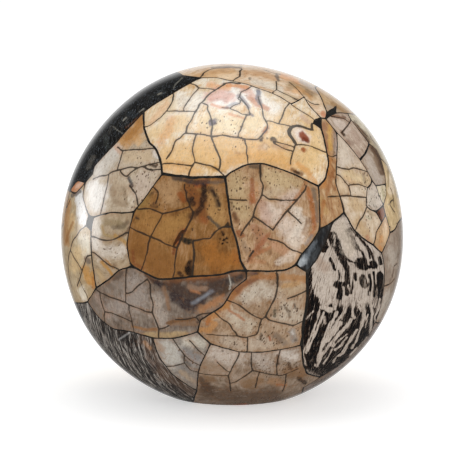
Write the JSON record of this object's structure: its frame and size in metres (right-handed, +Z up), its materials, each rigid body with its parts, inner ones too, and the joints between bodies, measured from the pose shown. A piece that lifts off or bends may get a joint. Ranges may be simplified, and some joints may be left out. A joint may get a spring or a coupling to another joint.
{
  "type": "petrified wood mosaic ball",
  "caption": "Polished ball of curved petrified-wood slabs set edge to edge in black resin, ground flat underneath so that it stands on its own.",
  "frame": {"origin": "middle of the flat ground face that the ball stands on", "axes": "+Z up, -Y towards the viewer of the pictured front, +X to that viewer's right"},
  "size_m": [0.2975, 0.2998, 0.288],
  "materials": {
    "resin_body": "polished cast resin",
    "slab_black_streaked": "polished stone",
    "slab_cream_top": "polished stone",
    "slab_tan_crown": "polished stone",
    "slab_tan_shoulder": "polished stone",
    "slab_mauve_upper": "polished stone",
    "slab_pale_shoulder": "polished stone",
    "slab_brown_shoulder": "polished stone",
    "slab_rust_strip": "polished stone",
    "slab_tan_right": "polished stone",
    "slab_speckled": "polished stone",
    "slab_cream_sliver": "polished stone",
    "slab_red_wedge": "polished stone",
    "slab_khaki_rim": "polished stone",
    "slab_tan_low": "polished stone",
    "slab_mauve_rim": "polished stone",
    "slab_zebra": "polished stone",
    "slab_black_plug": "polished stone",
    "slab_pink_centre": "polished stone",
    "slab_amber": "polished stone",
    "slab_pale_left": "polished stone",
    "slab_orange_chip": "polished stone",
    "slab_far_left": "polished stone",
    "slab_swirl_left": "polished stone",
    "slab_grey_lower": "polished stone",
    "slab_cream_lower": "polished stone",
    "slab_beige_lower": "polished stone",
    "slab_brown_lower": "polished stone",
    "slab_streaked_lower": "polished stone",
    "slab_rim_lower": "polished stone",
    "slab_back_left_rim": "polished stone",
    "slab_back_right": "polished stone",
    "slab_back_upper_right": "polished stone",
    "slab_back_crown": "polished stone",
    "slab_back_upper_left": "polished stone",
    "slab_back_left": "polished stone",
    "slab_back_lower_left": "polished stone",
    "slab_back_lower_right": "polished stone",
    "slab_back_centre_right": "polished stone",
    "slab_back_centre_left": "polished stone",
    "slab_back_centre_low": "polished stone"
  },
  "bodies": {
    "root": {"resin_body": "resin_body", "slab_black_streaked": "slab_black_streaked", "slab_cream_top": "slab_cream_top", "slab_tan_crown": "slab_tan_crown", "slab_tan_shoulder": "slab_tan_shoulder", "slab_mauve_upper": "slab_mauve_upper", "slab_pale_shoulder": "slab_pale_shoulder", "slab_brown_shoulder": "slab_brown_shoulder", "slab_rust_strip": "slab_rust_strip", "slab_tan_right": "slab_tan_right", "slab_speckled": "slab_speckled", "slab_cream_sliver": "slab_cream_sliver", "slab_red_wedge": "slab_red_wedge", "slab_khaki_rim": "slab_khaki_rim", "slab_tan_low": "slab_tan_low", "slab_mauve_rim": "slab_mauve_rim", "slab_zebra": "slab_zebra", "slab_black_plug": "slab_black_plug", "slab_pink_centre": "slab_pink_centre", "slab_amber": "slab_amber", "slab_pale_left": "slab_pale_left", "slab_orange_chip": "slab_orange_chip", "slab_far_left": "slab_far_left", "slab_swirl_left": "slab_swirl_left", "slab_grey_lower": "slab_grey_lower", "slab_cream_lower": "slab_cream_lower", "slab_beige_lower": "slab_beige_lower", "slab_brown_lower": "slab_brown_lower", "slab_streaked_lower": "slab_streaked_lower", "slab_rim_lower": "slab_rim_lower", "slab_back_left_rim": "slab_back_left_rim", "slab_back_right": "slab_back_right", "slab_back_upper_right": "slab_back_upper_right", "slab_back_crown": "slab_back_crown", "slab_back_upper_left": "slab_back_upper_left", "slab_back_left": "slab_back_left", "slab_back_lower_left": "slab_back_lower_left", "slab_back_lower_right": "slab_back_lower_right", "slab_back_centre_right": "slab_back_centre_right", "slab_back_centre_left": "slab_back_centre_left", "slab_back_centre_low": "slab_back_centre_low"}
  },
  "joints": []
}
